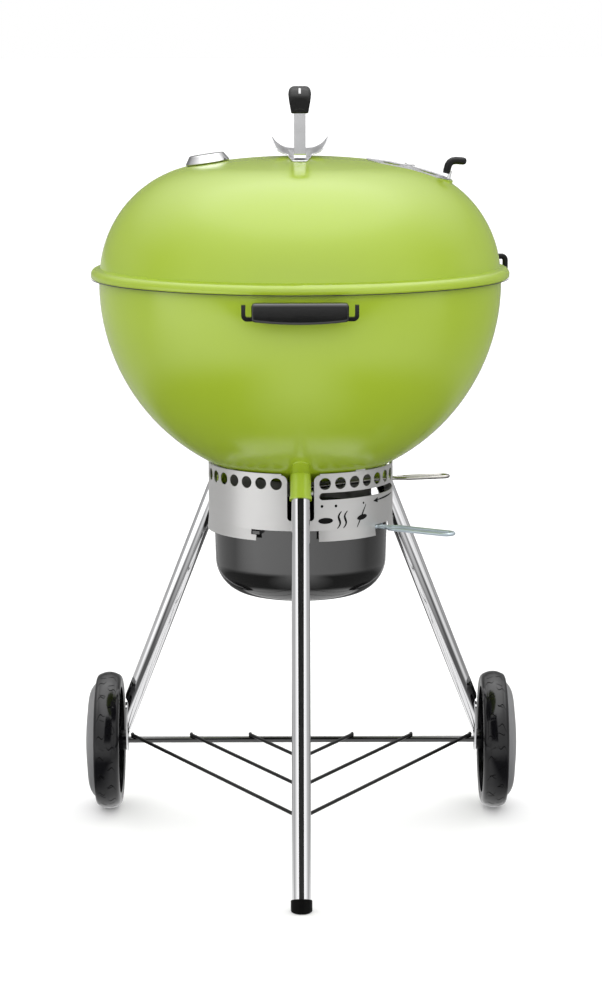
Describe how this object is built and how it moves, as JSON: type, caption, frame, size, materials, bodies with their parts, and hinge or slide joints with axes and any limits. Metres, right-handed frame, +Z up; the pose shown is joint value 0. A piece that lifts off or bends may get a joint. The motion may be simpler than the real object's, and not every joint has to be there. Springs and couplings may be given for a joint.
{
  "type": "kettle charcoal grill",
  "caption": "Kettle charcoal grill: enamelled bowl and domed lid on three bright tube legs with rear wheels, wire rack, ash ring, sweep lever and bayonet ash pot.",
  "frame": {"origin": "on the floor under the middle of the footprint; the kettle axis stands 25.95 mm behind it", "axes": "+Z up, -Y toward the user's side with the front leg, +X to the user's right"},
  "size_m": [0.64, 0.7019, 1.0702],
  "materials": {
    "lime_enamel": "gloss enamel",
    "black_enamel": "gloss enamel",
    "bright_tube": "bright plated",
    "polished_steel": "polished",
    "ring_sheet": "satin",
    "damper_sheet": "satin",
    "zinc_wire": "zinc plated",
    "nickel_wire": "plated",
    "plated_steel": "plated",
    "black_wire": "satin paint",
    "black_nylon": "fine grain",
    "tyre_plastic": "moulded",
    "cap_plastic": "satin",
    "dial_face": "printed",
    "pointer_paint": "painted",
    "lens_glass": "clear",
    "tabs_enamel": "enamel"
  },
  "bodies": {
    "stand": {"bowl_shell": "lime_enamel", "leg_socket_front": "lime_enamel", "leg_socket_left": "lime_enamel", "leg_socket_right": "lime_enamel", "cooking_grate_tabs": "tabs_enamel", "charcoal_grate_tabs": "tabs_enamel", "leg_front": "bright_tube", "leg_left": "bright_tube", "leg_right": "bright_tube", "foot_cap": "black_nylon", "axle": "black_wire", "axle_nut_left": "plated_steel", "axle_nut_right": "plated_steel", "bottom_rack": "black_wire", "ash_ring": "ring_sheet", "ash_ring_rivets": "plated_steel", "handle_front_grip": "black_nylon", "handle_front_bolts": "plated_steel", "handle_rear_grip": "black_nylon", "handle_rear_bolts": "plated_steel", "lid_hanger": "black_wire"},
    "lid": {"lid_shell": "lime_enamel", "lid_heat_shield": "polished_steel", "lid_post_front": "polished_steel", "lid_post_rear": "polished_steel", "lid_handle_grip": "black_nylon", "lid_handle_bolts": "plated_steel", "damper_rivet": "plated_steel", "gauge_bezel": "polished_steel", "gauge_dial": "dial_face", "gauge_lens": "lens_glass", "gauge_stem": "plated_steel", "gauge_nut": "plated_steel"},
    "damper": {"damper_disc": "damper_sheet", "damper_sleeve": "black_nylon"},
    "gauge_pointer": {"gauge_pointer": "pointer_paint"},
    "ash_sweep": {"sweep_blades": "plated_steel", "sweep_lever": "nickel_wire", "sweep_cotter": "plated_steel"},
    "ash_pot": {"ash_pot": "black_enamel", "ash_pot_handle": "zinc_wire"},
    "wheel_left": {"wheel_left": "tyre_plastic", "hubcap_left": "cap_plastic"},
    "wheel_right": {"wheel_right": "tyre_plastic", "hubcap_right": "cap_plastic"},
    "cooking_grate": {"grate_frame": "plated_steel", "grate_bars": "plated_steel"},
    "grate_leaf_left": {"grate_leaf_left": "plated_steel"},
    "grate_leaf_right": {"grate_leaf_right": "plated_steel"},
    "charcoal_grate": {"charcoal_grate": "plated_steel"},
    "snap_button_front": {"snap_button_front": "plated_steel", "button_spring_front": "plated_steel"},
    "snap_button_left": {"snap_button_left": "plated_steel", "button_spring_left": "plated_steel"},
    "snap_button_right": {"snap_button_right": "plated_steel", "button_spring_right": "plated_steel"}
  },
  "joints": [
    {"name": "lid_lift", "type": "slide", "parent": "stand", "child": "lid", "axis": [0, 0, 1], "range_m": [0, 0.28]},
    {"name": "damper_turn", "type": "hinge", "parent": "lid", "child": "damper", "pos_m": [0.1519, 0.02595, 0.959], "axis": [0.2351, 0, 0.972], "range_deg": [0, 45]},
    {"name": "pointer_turn", "type": "hinge", "parent": "lid", "child": "gauge_pointer", "pos_m": [-0.128, 0.02595, 0.96485], "axis": [-0.1438, 0, 0.9896], "range_deg": [-250, 0]},
    {"name": "sweep_turn", "type": "hinge", "parent": "stand", "child": "ash_sweep", "pos_m": [0, 0.02595, 0.515], "axis": [0, 0, 1], "range_deg": [-88, 0]},
    {"name": "pot_twist", "type": "hinge", "parent": "stand", "child": "ash_pot", "pos_m": [0, 0.02595, 0.46], "axis": [0, 0, 1], "range_deg": [0, 8.5]},
    {"name": "wheel_left_spin", "type": "hinge", "parent": "stand", "child": "wheel_left", "pos_m": [-0.286, 0.18447, 0.1015], "axis": [1, 0, 0], "continuous": true},
    {"name": "wheel_right_spin", "type": "hinge", "parent": "stand", "child": "wheel_right", "pos_m": [0.286, 0.18447, 0.1015], "axis": [1, 0, 0], "continuous": true},
    {"name": "cooking_grate_lift", "type": "slide", "parent": "stand", "child": "cooking_grate", "axis": [0, 0, 1], "range_m": [0, 0.012]},
    {"name": "leaf_left_flip", "type": "hinge", "parent": "cooking_grate", "child": "grate_leaf_left", "pos_m": [-0.114, 0.02595, 0.79], "axis": [0, 1, 0], "range_deg": [0, 80]},
    {"name": "leaf_right_flip", "type": "hinge", "parent": "cooking_grate", "child": "grate_leaf_right", "pos_m": [0.114, 0.02595, 0.79], "axis": [0, -1, 0], "range_deg": [0, 80]},
    {"name": "charcoal_grate_lift", "type": "slide", "parent": "stand", "child": "charcoal_grate", "axis": [0, 0, 1], "range_m": [0, 0.12]},
    {"name": "snap_button_front_press", "type": "slide", "parent": "stand", "child": "snap_button_front", "axis": [-1, 0, 0], "range_m": [0, 0.0032], "stiffness_N_per_m": 900},
    {"name": "snap_button_left_press", "type": "slide", "parent": "stand", "child": "snap_button_left", "axis": [0.5, 0.866, 0], "range_m": [0, 0.0032], "stiffness_N_per_m": 900},
    {"name": "snap_button_right_press", "type": "slide", "parent": "stand", "child": "snap_button_right", "axis": [0.5, -0.866, 0], "range_m": [0, 0.0032], "stiffness_N_per_m": 900}
  ]
}
